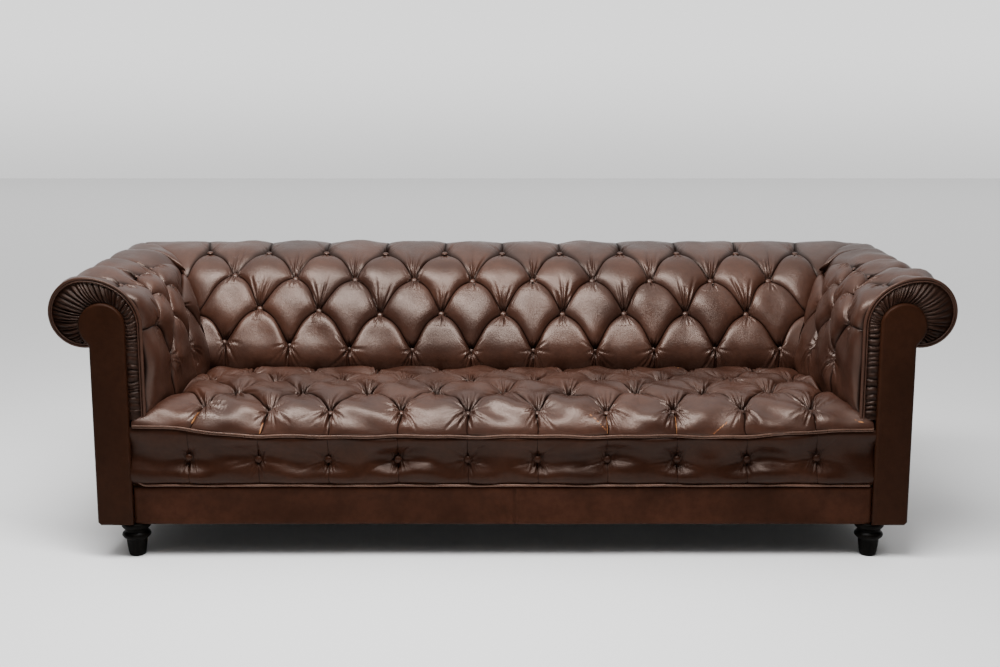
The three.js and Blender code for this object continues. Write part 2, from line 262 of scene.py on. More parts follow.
class Section:
    """The outline that a padded cover follows across the piece, through a few points in millimetres."""

    def __init__(self, points, count=600):
        knots = np.array(points, float) * MM
        reach = np.concatenate([[0], np.cumsum(np.hypot(*np.diff(knots, axis=0).T))])
        slopes = np.stack([np.gradient(knots[:, i], reach) for i in (0, 1)], axis=1)
        at = np.linspace(0, reach[-1], count)
        i = np.clip(np.searchsorted(reach, at) - 1, 0, len(reach) - 2)
        span = (reach[i + 1] - reach[i])[:, None]
        t = ((at - reach[i]) / (reach[i + 1] - reach[i]))[:, None]
        self.line = (
            (2 * t**3 - 3 * t**2 + 1) * knots[i]
            + (t**3 - 2 * t**2 + t) * span * slopes[i]
            + (3 * t**2 - 2 * t**3) * knots[i + 1]
            + (t**3 - t**2) * span * slopes[i + 1]
        )
        self.reach = np.concatenate([[0], np.cumsum(np.hypot(*np.diff(self.line, axis=0).T))])
        self.length = self.reach[-1]
        along = np.gradient(self.line, self.reach, axis=0)
        along /= np.linalg.norm(along, axis=1)[:, None]
        self.outward = np.stack([-along[:, 1], along[:, 0]], axis=1)

    def at(self, v, h):
        """The points at distance v round the section and height h above it."""
        v = np.asarray(v, float)
        spot = [np.interp(v, self.reach, self.line[:, i]) for i in (0, 1)]
        turn = [np.interp(v, self.reach, self.outward[:, i]) for i in (0, 1)]
        size = np.hypot(*turn)
        return [s + h * n / size for s, n in zip(spot, turn)]

    def find(self, axis, value, after=0.0):
        """The distance round the section at which its coordinate first passes a value, in millimetres."""
        values = self.line[:, axis] - value * MM
        for i in range(1, len(values)):
            if self.reach[i] > after and values[i - 1] * values[i] <= 0:
                return float(self.reach[i])
        raise ValueError(f"the section never reaches {value}")


def circle(cx, cy, radius, start, end, count):
    return [
        (cx + radius * math.cos(math.radians(a)), cy + radius * math.sin(math.radians(a)))
        for a in np.linspace(start, end, count)
    ]


# A buttoned cover is drawn down to staggered rows of buttons. The surplus leather folds into a pleat from
# each button to its neighbours in the next row, and into upright pleats from the outer rows to the edges.
SEGMENTS = 44  # the mesh's steps along one pleat


def crowd(x):
    """Evenly spaced steps drawn together at both ends, where the surface turns sharply."""
    return x + 0.88 * ((1 - np.cos(np.pi * x)) / 2 - x)


def along(line, x):
    """Points of a line, each distance along, distance round and height, at fractions x of its length."""
    line = np.asarray(line, float)
    steps = np.hypot(*np.diff(line[:, :2], axis=0).T)
    reach = np.concatenate([[0], np.cumsum(steps)])
    if reach[-1] < 1e-9:
        return np.repeat(line[:1], len(x), axis=0)
    return np.stack([np.interp(x * reach[-1], reach, line[:, i]) for i in range(3)], axis=1)


def pleat(low, high, bulge=0.0, shallow=0.013, pull=0.026):
    """The line of a pleat from a lower button to a higher one, arched outwards and upwards by bulge."""
    low, high = np.array(low, float), np.array(high, float)
    t = np.linspace(0, 1, LINE_POINTS)
    line = low + (high - low) * t[:, None]
    span = np.hypot(*(high - low)[:2])
    side = 1.0 if low[0] > high[0] else -1.0
    arch = bulge * np.sin(np.pi * t**1.5)
    line[:, 0] += side * arch * abs(high[1] - low[1]) / span
    line[:, 1] += arch * abs(high[0] - low[0]) / span
    middle = -min(shallow, abs(low[2]), abs(high[2]))
    line[:, 2] = (
        middle
        + (low[2] - middle) * np.exp(-t * span / pull)
        + (high[2] - middle) * np.exp(-(1 - t) * span / pull)
    )
    line[0], line[-1] = low, high
    return line


def pillow(x, low_power, high_power):
    """A swelling from 0 at x = 0 to 1 and back to 0 at x = 1; a power of 0 leaves that end unpinched."""
    x = np.clip(x, 0, 1)
    if low_power == 0 and high_power == 0:
        return np.ones_like(x)
    if low_power == 0:
        return (1 - x**2.2) ** high_power
    if high_power == 0:
        return (1 - (1 - x) ** 2.2) ** low_power
    top = low_power / (low_power + high_power)
    return (x**low_power * (1 - x) ** high_power) / (top**low_power * (1 - top) ** high_power)


def points_of(line, x):
    """Points of a line at fractions x of it. Each of a pair of pleats that meet takes half the steps."""
    if isinstance(line, tuple):
        return np.where((x < 0.5)[:, None], along(line[0], x * 2), along(line[1], x * 2 - 1))
    return along(line, x)


def fill_patch(mesh, low, high, left, right, powers, swell=0.0, wide=False):
    """Fills the space between four lines with a padded patch, whose height rises from the lines' own heights
    to swell in the middle. wide is for a patch whose low or high line is a pair of pleats."""
    fold = mesh.verts.layers.float.get("fold") or mesh.verts.layers.float.new("fold")
    across = SEGMENTS * (2 if wide else 1)
    made = bmesh.ops.create_grid(mesh, x_segments=across, y_segments=SEGMENTS, size=0.5)["verts"]
    flat = np.array([v.co[:2] for v in made]) + 0.5
    part, half = np.modf(flat[:, 0] * 2)
    s = np.clip((crowd(part) + half) / 2, 0, 1) if wide else crowd(flat[:, 0])
    t = crowd(flat[:, 1])
    s1, t1 = s[:, None], t[:, None]
    ends = np.array([0.0, 1.0])
    (low0, low1), (high0, high1) = points_of(low, ends), points_of(high, ends)
    spot = (1 - s1) * along(left, t) + s1 * along(right, t)
    spot += (1 - t1) * points_of(low, s) + t1 * points_of(high, s)
    spot -= (1 - s1) * (1 - t1) * low0 + s1 * (1 - t1) * low1 + (1 - s1) * t1 * high0 + s1 * t1 * high1
    rise = pillow(s, powers[0], powers[1]) * pillow(t, powers[2], powers[3])
    height = spot[:, 2] * (1 - rise) + swell * rise
    # fold marks how near each point lies to the patch's creases; the leather paints shade there.
    for vert, (x, y, _), z, deep in zip(made, spot, height, np.clip(1 - rise / 0.45, 0, 1)):
        vert.co = (x, y, z)
        vert[fold] = deep


class Buttoning:
    """Rows of buttons on a flat cover. Each row is (distance round, depth, pitch, last index), and its
    buttons stand at half a pitch times every second index. An index past the last is a knot on the rim."""

    shallow = 0.013  # how deep the middle of a pleat lies
    bulge = 0.014  # how far a slanting pleat arches
    stray = 0.004  # how far a button may sit from its even place

    def __init__(self, rows, rim, length, shift=None):
        """shift gives how far a button is moved along and round, from its row and its distance along."""
        self.rows = rows
        self.rim = rim
        self.length = length
        self.shift = shift

    def inside(self, row, q):
        return abs(q) <= self.rows[row][3]

    def knot(self, row, q):
        v, depth, pitch, _ = self.rows[row]
        if self.inside(row, q):
            a = q / 2 * pitch
            aside, around = np.random.default_rng((row, q + 99)).uniform(-self.stray, self.stray, 2)
            more_aside, more_around = self.shift(row, a)
            return np.array((a + aside + more_aside, v + around + more_around, -depth))
        return self.rim(v, 1 if q > 0 else -1)

    def buttons(self):
        return [
            (row, q, self.knot(row, q))
            for row, (_, _, _, last) in enumerate(self.rows)
            for q in range(-last, last + 1, 2)
        ]

    def rim_line(self, low_v, high_v, side):
        return [self.rim(v, side) for v in np.linspace(low_v, high_v, LINE_POINTS)]

    def edge(self, low, high):
        """The line from one knot, as (row, index), to another in the row above."""
        if not self.inside(*low) and not self.inside(*high):
            return self.rim_line(self.rows[low[0]][0], self.rows[high[0]][0], 1 if low[1] > 0 else -1)
        return pleat(self.knot(*low), self.knot(*high), self.bulge, self.shallow)

    def middles(self, row):
        """The indexes halfway between this row's knots."""
        last = self.rows[row][3] + 1
        return range(-last, last + 1, 2)

    def upright(self, row, q, side, draw):
        """The line from a knot of an outer row to the cover's edge, as draw gives it for a button."""
        knot = self.knot(row, q)
        if self.inside(row, q):
            return draw(knot, q)
        low_v, high_v = (0, knot[1]) if row == 0 else (knot[1], self.length)
        return self.rim_line(low_v, high_v, side)

    def fill_diamonds(self, mesh, row, middles, swell=0.0):
        """The patches whose side corners are in this row."""
        for q in middles:
            low, high = self.edge((row - 1, q), (row, q + 1)), self.edge((row, q - 1), (row + 1, q))
            left, right = self.edge((row - 1, q), (row, q - 1)), self.edge((row, q + 1), (row + 1, q))
            fill_patch(mesh, low, high, left, right, (0.6, 0.42, 0.6, 0.42), swell)

    def fill_low_edge(self, mesh, draw, powers):
        """The patches between the cover's low edge and its first row of buttons."""
        for q in self.middles(0):
            left, right = (self.upright(0, q + step, step, draw) for step in (-1, 1))
            high = self.edge((0, q - 1), (1, q)), self.edge((0, q + 1), (1, q))[::-1]
            fill_patch(mesh, [left[0], right[0]], high, left, right, powers, wide=True)

    def fill_high_edge(self, mesh, draw, powers, swell=0.0):
        """The patches between the last row of buttons and the cover's high edge."""
        last = len(self.rows) - 1
        for q in self.middles(last):
            left, right = (self.upright(last, q + step, step, draw) for step in (-1, 1))
            low = self.edge((last - 1, q), (last, q - 1))[::-1], self.edge((last - 1, q), (last, q + 1))
            fill_patch(mesh, low, [left[-1], right[-1]], left, right, powers, swell, wide=True)


def run(start, end, middle, pull=0.03, sway=0.0):
    """A pleat from a button to the cover's edge, shallow at middle, that sways to one side and back."""
    start, end = np.array(start, float), np.array(end, float)
    t = np.linspace(0, 1, LINE_POINTS)
    line = start + (end - start) * t[:, None]
    line[:, 0] += sway * np.sin(2 * np.pi * t)
    span = np.hypot(*(end - start)[:2])
    line[:, 2] = middle + (start[2] - middle) * np.exp(-t * span / pull)
    line[:, 2] += (end[2] - middle) * np.exp(-(1 - t) * span / pull)
    line[0], line[-1] = start, end
    return line


def gather(places, knots, up, down, side, size, seed, spread=1.0):
    """How far the creases that fan out from the buttons raise or lower each place. up, down and side are how
    far they reach, and spread is how wide and full the fans are."""
    lift = np.zeros(len(places))
    for n, knot in enumerate(knots):
        picks = np.random.default_rng(seed * 1000 + n)
        across, above = places[:, 0] - knot[0], places[:, 1] - knot[1]
        near = np.hypot(across, above) < 1.5 * max(up, down, side)
        across, above = across[near], above[near]
        r = np.hypot(across, above)
        fans = ((0, 19, up, 6), (180, 34, down, 6), (75, 28, side, 2), (-75, 28, side, 2))
        for middle, turn_limit, reach, count in fans:
            if reach == 0:
                continue
            count = round(count * spread)
            aim = np.linspace(-1, 1, count) + picks.uniform(-0.35, 0.35, count)
            turns = middle + spread * turn_limit * aim
            for turn in np.radians(turns):
                length = reach * picks.uniform(0.5, 1.15)
                ahead = across * math.sin(turn) + above * math.cos(turn)
                aside = across * math.cos(turn) - above * math.sin(turn)
                aside = aside + picks.uniform(-0.12, 0.12) * np.maximum(ahead, 0) ** 2 / reach
                width = 0.0018 + 0.03 * np.maximum(ahead, 0)
                fade = np.clip((r - 0.006) / 0.01, 0, 1) * (ahead > 0)
                fade = fade * np.clip(1 - ahead / length, 0, 1) ** 0.8
                valley = 0.4 * np.exp(-((aside / (2.2 * width)) ** 2)) - np.exp(-((aside / width) ** 2))
                lift[near] += size * picks.uniform(0.5, 1.0) * fade * valley
    return lift


def ripple(places, length, size, seed):
    """Soft unevenness of about this wavelength."""
    picks = np.random.default_rng(seed)
    lift = np.zeros(len(places))
    for _ in range(7):
        turn, phase = picks.uniform(0, 6.28, 2)
        wave = 6.28 / (length * picks.uniform(0.7, 1.6))
        lift += np.sin((places[:, 0] * math.cos(turn) + places[:, 1] * math.sin(turn)) * wave + phase)
    return lift * size / 3


def finish_piece(mesh, name, finish, node_names):
    """Makes the object, gives it its material and ties it to the frame."""
    data = bpy.data.meshes.new(name)
    mesh.to_mesh(data)
    mesh.free()
    piece = bpy.data.objects.new(name, data)
    bpy.context.collection.objects.link(piece)
    data.materials.append(finish)
    data.shade_smooth()
    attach(piece, "root")
    if node_names:
        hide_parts(*node_names)
    return piece


def close_cover(mesh, flat):
    """Closes a cover behind its rims, with a wall at each end and one from its low edge to its high one."""
    mesh.verts.ensure_lookup_table()
    rim = [v for v in mesh.verts if v.is_boundary]
    places = np.array([flat[v.index][:2] for v in rim])
    low, high = (np.abs(places[:, 1] - edge) < 0.0001 for edge in (places[:, 1].min(), places[:, 1].max()))
    picks = [(low, 1), (low, -1), (high, -1), (high, 1)]
    corners = [rim[int(np.argmin(np.where(row, way * places[:, 0], np.inf)))] for row, way in picks]
    loop, edge = [corners[0]], next(e for e in corners[0].link_edges if e.is_boundary)
    while True:
        vert = edge.other_vert(loop[-1])
        if vert == corners[0]:
            break
        loop.append(vert)
        edge = next(e for e in vert.link_edges if e.is_boundary and e != edge)
    if loop.index(corners[1]) > loop.index(corners[3]):
        loop = loop[:1] + loop[:0:-1]
    for seam in [e for e in mesh.edges if e.is_boundary]:
        seam.smooth = False
    _, a, b, c = (loop.index(corner) for corner in corners)
    for wall in (loop[a:b + 1], loop[c:] + loop[:1], loop[:a + 1] + loop[b:c + 1]):
        mesh.faces.new(wall)
    bmesh.ops.recalc_face_normals(mesh, faces=mesh.faces)


def lay_on(mesh, place, lift, fans, rubbed=(), close=close_cover):
    """Merges the patches, moves each point of the flat cover to its place, and closes the cover. fans are
    (buttons, up, down), how far fine creases run, and rubbed are (start, end, width)."""
    bmesh.ops.remove_doubles(mesh, verts=mesh.verts, dist=MERGE)
    flat = np.array([v.co for v in mesh.verts])
    ray, pinch = np.zeros((len(flat), 3)), np.zeros(len(flat))
    for knots, up, down in fans:
        for knot in knots:
            across, above = flat[:, 0] - knot[0], flat[:, 1] - knot[1]
            spread = across / (0.012 + 0.35 * np.abs(above))
            clear = np.clip((np.hypot(across, above) - 0.006) / 0.006, 0, 1)
            reach = np.where(above > 0, up, down)
            depth = clear * np.exp(-(spread**2)) * np.clip(1 - np.abs(above) / reach, 0, 1)
            here = depth > pinch
            spot = np.stack([spread * 3.2, above * 12, 0 * above + 7 * knot[0] + 31 * knot[1]], axis=1)
            ray[here], pinch[here] = spot[here], depth[here]
    wear = np.zeros(len(flat))
    for start, end, width in rubbed:
        way = np.array(end) - start
        t = np.clip((flat[:, :2] - start) @ way / (way @ way), 0, 1)
        off = np.hypot(*(flat[:, :2] - start - t[:, None] * way).T)
        wear = np.maximum(wear, np.exp(-((off / width) ** 2)))
    heights = flat[:, 2] + lift(flat)
    layers = mesh.verts.layers
    ray_layer, pinch_layer = layers.float_vector.new("ray"), layers.float.new("pinch")
    wear_layer = layers.float.new("wear")
    spots = np.stack(place(flat[:, 0], flat[:, 1], heights), axis=1)
    for vert, spot, ray_here, pinch_here, wear_here in zip(mesh.verts, spots, ray, pinch, wear):
        vert.co = spot
        vert[ray_layer], vert[pinch_layer], vert[wear_layer] = ray_here, pinch_here, wear_here
    close(mesh, flat)


def point_on(place, a, v, h):
    return Vector([float(c[0]) for c in place(np.array([a]), np.array([v]), np.array([h]))])


def button_heads(name, spots, place, radius, finish):
    """Leather-covered buttons, domed discs that face along the cover's outward normal."""
    mesh = bmesh.new()
    for a, v, h in spots:
        foot, tip = point_on(place, a, v, h), point_on(place, a, v, h + 0.004)
        turn = (tip - foot).to_track_quat("Z", "Y").to_matrix().to_4x4()
        squash = Matrix.Diagonal((radius, radius, radius * 0.5, 1))
        shape = Matrix.Translation(tip) @ turn @ squash
        bmesh.ops.create_uvsphere(mesh, u_segments=20, v_segments=10, radius=1, matrix=shape)
    return finish_piece(mesh, name, finish, [])


seat_section = Section(
    [
        (7, 338), (4, 345), (6, 356), (13, 372), (25, 389), (43, 405), (67, 418), (98, 428), (140, 435),
        (200, 440), (300, 441), (400, 440), (460, 437), (487, 427), (498, 404), (500, 380),
    ]
)
SEAT_PITCH = 0.185
SEAT_SIDE = 0.9
EAR_SIDE = 0.99
ear_v = seat_section.find(0, 26, 0.03)
seat_rows = [
    (seat_section.find(0, 52, 0.05), 0.026, SEAT_PITCH, 9),
    (seat_section.find(0, 178), 0.036, SEAT_PITCH, 8),
    (seat_section.find(0, 300), 0.034, SEAT_PITCH, 9),
    (seat_section.find(0, 408), 0.03, SEAT_PITCH, 8),
]


def seat_rim(v, side):
    places = [ear_v - 0.01, ear_v + 0.012, ear_v + 0.03, seat_section.find(0, 300), seat_section.length]
    sides = [EAR_SIDE, EAR_SIDE - 0.02, SEAT_SIDE, SEAT_SIDE - 0.008, SEAT_SIDE - 0.034]
    reach = np.interp(v, places, sides)
    drop = np.interp(
        v,
        [0, ear_v - 0.03, ear_v, ear_v + 0.02, ear_v + 0.05, seat_section.length],
        [0.003, 0.008, 0.026, 0.036, 0.028, 0.02],
    )
    return np.array((side * reach, v, -drop))


def seat_shift(row, a):
    """The front row's buttons near the left arm sit further from it and further back."""
    if row > 0:
        return 0.0, 0.0
    return 0.03 * np.clip((-a - 0.5) / 0.2, 0, 1), 0.022 * np.clip((-a - 0.65) / 0.15, 0, 1)


def seat_low_pleat(knot, q):
    foot = (q / 2 * SEAT_PITCH * 1.005, 0, -0.006)
    return run(knot, foot, -0.012, sway=0.0035 * math.sin(41 * foot[0]))[::-1]


def seat_high_pleat(knot, _):
    return run(knot, (knot[0], seat_section.length, -0.012), -0.014)


seat = Buttoning(seat_rows, seat_rim, seat_section.length, seat_shift)
mesh = bmesh.new()
seat.fill_low_edge(mesh, seat_low_pleat, (0.5, 0.5, 0, 0.45))
for row in (1, 2):
    seat.fill_diamonds(mesh, row, seat.middles(row))
seat.fill_high_edge(mesh, seat_high_pleat, (0.42, 0.42, 0.6, 0.3))


def seat_lift_at(x):
    """How far the seat's lower edge is raised towards the arms."""
    reach = np.clip((np.abs(x) - 0.62) / 0.34, 0, 1)
    return (0.0225 - 0.0035 * np.sign(x)) * reach**2 * (3 - 2 * reach)


def on_seat(a, v, h):
    y, z = seat_section.at(v, h)
    return a, FRONT + y, z + seat_lift_at(a) * np.clip(1 - v / 0.09, 0, 1)


seat_knots = [knot for _, _, knot in seat.buttons()]


def seat_lift(flat):
    slack = np.clip(flat[:, 1] / 0.07, 0, 1) * ripple(flat, 0.095, 0.005, 2)
    return gather(flat, seat_knots, 0.095, 0.075, 0.08, 0.014, 1, 1.7) + slack


front_v = seat_rows[0][0]
seat_rubbed = [
    ((-0.829, 0.03), (-0.812, 0.085), 0.0024),
    ((-0.649, 0.008), (-0.642, 0.045), 0.0018),
    ((0.2335, 0.07), (0.2745, 0.022), 0.0016),
    ((0.279, 0.012), (0.278, front_v), 0.0012),
    ((0.464, 0.01), (0.463, front_v), 0.0012),
    ((0.562, 0.012), (0.6, 0.045), 0.0016),
    ((0.49, seat_rows[3][0] + 0.05), (0.55, seat_rows[3][0] + 0.01), 0.0016),
    ((-0.989, ear_v - 0.012), (-0.984, ear_v), 0.005),
    ((0.94, ear_v - 0.02), (0.96, ear_v - 0.03), 0.003),
]
lay_on(mesh, on_seat, seat_lift, [(seat_knots, 0.075, 0.06)], seat_rubbed)
seat_cushion = finish_piece(mesh, "seat_cover", cover_leather, ["seat_cushion"])
button_heads("seat_buttons", [(a, v, h + 0.001) for a, v, h in seat_knots], on_seat, 0.0085, cover_leather)


# ==== Seat border ===============================================================
# The padded strip under the seat, pulled back along its middle by a row of buttons with a pleat above and
# below each, and sewn into a welt at both edges.
border_section = Section(
    [
        (13, 208), (7, 214), (3, 226), (5, 240), (12, 254), (18, 268), (19, 282), (14, 300), (7, 318),
        (5, 330), (9, 339),
    ]
)
BORDER_PITCH = 0.187
BORDER_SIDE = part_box("seat_border")[1].x + 0.002
border_v = border_section.find(1, 275)
border_knots = [np.array((q / 2 * BORDER_PITCH, border_v, -0.008)) for q in range(-9, 10, 2)]


def border_pleat(knot, side):
    """The line up through a button, or up the border's end where there is no button."""
    if knot is None:
        return [(side * BORDER_SIDE, v, -0.002) for v in np.linspace(0, border_section.length, LINE_POINTS)]
    low = run(knot, (knot[0] + 0.002, 0, -0.003), -0.005, 0.015)[::-1]
    high = run(knot, (knot[0] - 0.001, border_section.length, -0.003), -0.004, 0.015)
    return np.concatenate([low, high[1:]])


mesh = bmesh.new()
stops = [None, *border_knots, None]
for n in range(len(stops) - 1):
    left, right = border_pleat(stops[n], -1), border_pleat(stops[n + 1], 1)
    fill_patch(mesh, [left[0], right[0]], [left[-1], right[-1]], left, right, (0.3, 0.3, 0, 0))


def on_border(a, v, h):
    y, z = border_section.at(v, h)
    return a, FRONT + y, z + seat_lift_at(a) * (v / border_section.length) ** 2


def border_lift(flat):
    middle = np.sin(np.pi * np.clip(flat[:, 1] / border_section.length, 0, 1)) ** 0.7
    folds = ripple(flat * (1.0, 2.0, 1.0), 0.11, 0.0058, 4)
    return middle * (gather(flat, border_knots, 0.02, 0.05, 0.09, 0.009, 3) + folds)


def box_in(mesh, corner, depth):
    """Closes an open face with walls that run back from its rim to a plane, depth behind the corner."""
    rim = [e for e in mesh.edges if e.is_boundary]
    made = bmesh.ops.extrude_edge_only(mesh, edges=rim)["geom"]
    normal = np.array(depth) / np.linalg.norm(depth)
    for vert in made:
        if isinstance(vert, bmesh.types.BMVert):
            spot = np.array(vert.co)
            vert.co = spot + normal * np.dot(np.array(corner) + depth - spot, normal)
    bmesh.ops.edgeloop_fill(mesh, edges=[e for e in mesh.edges if e.is_boundary])
    bmesh.ops.recalc_face_normals(mesh, faces=mesh.faces)


def close_border(mesh, _):
    box_in(mesh, (0, FRONT, 0), (0, 0.031, 0))


lay_on(mesh, on_border, border_lift, [(border_knots, 0.02, 0.04)], close=close_border)
border = finish_piece(mesh, "seat_border_cover", border_leather, ["seat_border"])
spots = [(a, v, h + 0.006) for a, v, h in border_knots]
button_heads("seat_border_buttons", spots, on_border, 0.0095, border_leather)


# ==== Back ======================================================================
# The inside back, buttoned in four rows and carried in upright pleats over a roll that overhangs the outside
# back. At each end it meets the arm in a mitred pleat.
back_section = Section(
    [
        (500, 385), (490, 410), (481, 436), (478, 460), (484, 488), (503, 532), (531, 588), (565, 645),
        (605, 700), (650, 735), (700, 757), (760, 768), *circle(836, 677, 94, 90, -85, 15), (815, 586),
    ]
)
MITRE_INNER = (0.86, 0.47)
MITRE_OUTER = (1.2, 0.93)
MITRE_SLOPE = (MITRE_OUTER[1] - MITRE_INNER[1]) / (MITRE_OUTER[0] - MITRE_INNER[0])
MITRE_LAP = 0.004  # how far each cover runs on past the mitre, so that the two press into each other
MITRE_BLEND = 0.12  # how much of each cover's end is shifted to keep to the mitre


def mitre_x(depth):
    return MITRE_INNER[0] + (depth - MITRE_INNER[1]) / MITRE_SLOPE


def mitre_depth(x):
    return MITRE_INNER[1] + (x - MITRE_INNER[0]) * MITRE_SLOPE


back_rows = [
    (back_section.find(1, 485, 0.05), 0.038, 0.183, 9),
    (back_section.find(1, 589), 0.031, 0.1841, 8),
    (back_section.find(1, 688), 0.029, 0.1808, 9),
    (back_section.find(0, 692), 0.014, 0.1813, 10),
]
back_length = back_section.length


def back_rim(v, side):
    depth = float(back_section.at(v, 0.0)[0])
    drop = np.interp(v, [0, 0.1, 0.3, 0.42, 0.55, back_length], [0.01, 0.026, 0.026, 0.018, 0.01, 0.006])
    lap = np.interp(v, [0.62, 0.72], [MITRE_LAP, -0.003])  # none on the outside, where it would show
    return np.array((side * (mitre_x(depth) + lap), v, -drop))


def back_shift(row, a):
    """The rows climb towards the left arm."""
    return 0.0, (0.03, 0.026, 0.019, 0.006)[row] * np.clip((-a - 0.2) / 0.6, 0, 1) ** 2


def back_low_pleat(knot, _):
    return run(knot, (knot[0] * 1.004, 0, -0.004), -0.003, 0.02)[::-1]


def back_high_pleat(knot, q):
    return run(knot, (knot[0] * (1 + 0.1 * abs(q / 10) ** 3), back_length, -0.004), -0.006, 0.04)


back = Buttoning(back_rows, back_rim, back_length, back_shift)
mesh = bmesh.new()
back.fill_low_edge(mesh, back_low_pleat, (0.42, 0.42, 0.4, 0.42))
for row in (1, 2):
    back.fill_diamonds(mesh, row, back.middles(row))
back.fill_high_edge(mesh, back_high_pleat, (0.5, 0.5, 0.6, 0), 0.003)


def on_back(a, v, h):
    """Lays the cover on the back and shifts its ends along so that they keep to the mitre."""
    depth, z = back_section.at(v, h)
    flat_depth = back_section.at(v, 0 * h)[0]
    half = mitre_x(flat_depth)
    near = np.clip((np.abs(a) - half + MITRE_BLEND) / MITRE_BLEND, 0, 1)
    return a + np.sign(a) * near * (mitre_x(depth) - half), FRONT + depth, z


back_knots = [knot for _, _, knot in back.buttons()]
back_low = [knot for row, _, knot in back.buttons() if row == 0]
back_high = [knot for row, _, knot in back.buttons() if row > 0]


def back_lift(flat):
    low = gather(flat, back_low, 0.035, 0.08, 0.06, 0.016, 5)
    high = gather(flat, back_high, 0.115, 0.045, 0.02, 0.014, 6)
    return low + high + ripple(flat, 0.12, 0.0025, 7)


lay_on(mesh, on_back, back_lift, [(back_low, 0.03, 0.06), (back_high, 0.085, 0.045)])
back_cover = finish_piece(mesh, "back_cover", cover_leather, ["back_pad"])
button_heads("back_buttons", [(a, v, h + 0.003) for a, v, h in back_knots], on_back, 0.0092, cover_leather)


# ==== Arms ======================================================================
# Each arm is padded and buttoned like the back, in four rows, and rolls over to the outside. Its front edge
# is turned down to the gathered band round the facing.
arm_section = Section(
    [
        (906, 385), (902, 420), (900, 470), (901, 540), (908, 605), (925, 665), (957, 712), (1005, 746),
        (1055, 765), *circle(1106, 677, 94, 90, -85, 15), (1089, 586),
    ]
)
ARM_PITCH = 0.168
ARM_FIRST = 0.11
ARM_FRONT = 0.031
arm_rows = [
    (arm_section.find(1, 518), 0.046, ARM_PITCH, (1, 3)),
    (arm_section.find(1, 633), 0.036, ARM_PITCH, (0, 4)),
    (arm_section.find(1, 708), 0.03, ARM_PITCH, (1, 3)),
    (arm_section.find(1, 751), 0.026, ARM_PITCH, (0, 4)),
]
arm_length = arm_section.length


def mitre_match(line, back_line):
    """Where the back's cover meets the mitre at the height of each point of the arm's section, as x."""
    top, back_top = np.argmax(line[:, 1]), np.argmax(back_line[:, 1])
    inner = np.interp(line[:top, 1], back_line[:back_top, 1], back_line[:back_top, 0])
    under = np.minimum.accumulate(back_line[back_top:, 1])
    outer = np.interp(-line[top:, 1], -under, back_line[back_top:, 0])
    return mitre_x(np.concatenate([inner, outer]))


arm_end = mitre_match(arm_section.line, back_section.line)


class ArmButtoning(Buttoning):
    """The rows of an arm run from its front edge to the mitre, so each gives its first and last index."""

    shallow = 0.022

    def inside(self, row, q):
        first, last = self.rows[row][3]
        return first <= q <= last

    def knot(self, row, q):
        v, depth, pitch, (first, _) = self.rows[row]
        if self.inside(row, q):
            return np.array((ARM_FIRST + q / 2 * pitch, v, -depth))
        return self.rim(self.rows[1][0], -1) if q < first else self.rim(v, 1)

    def buttons(self):
        return [
            (row, q, self.knot(row, q))
            for row, (_, _, _, (first, last)) in enumerate(self.rows)
            for q in range(first, last + 1, 2)
        ]


def arm_rim(v, side):
    if side > 0:
        x = float(np.interp(v, arm_section.reach, arm_end))
        places, drops = [0, 0.1, 0.3, 0.42, 0.55, arm_length], [0.01, 0.024, 0.026, 0.018, 0.01, 0.006]
        drop = np.interp(v, places, drops)
        return np.array((mitre_depth(x) + MITRE_LAP, v, -drop))
    drop = np.interp(v, [0, 0.22, 0.34, 0.46, arm_length], [0.054, 0.053, 0.028, 0.011, 0.009])
    return np.array((ARM_FRONT, v, -drop))


def arm_low_pleat(knot, _):
    return run(knot, (knot[0], 0, -0.01), -0.014)[::-1]


arm = ArmButtoning(arm_rows, arm_rim, arm_length)


ROLLED = (0.5, 0.5, 0.6, 0)  # the powers of the patches over the roll


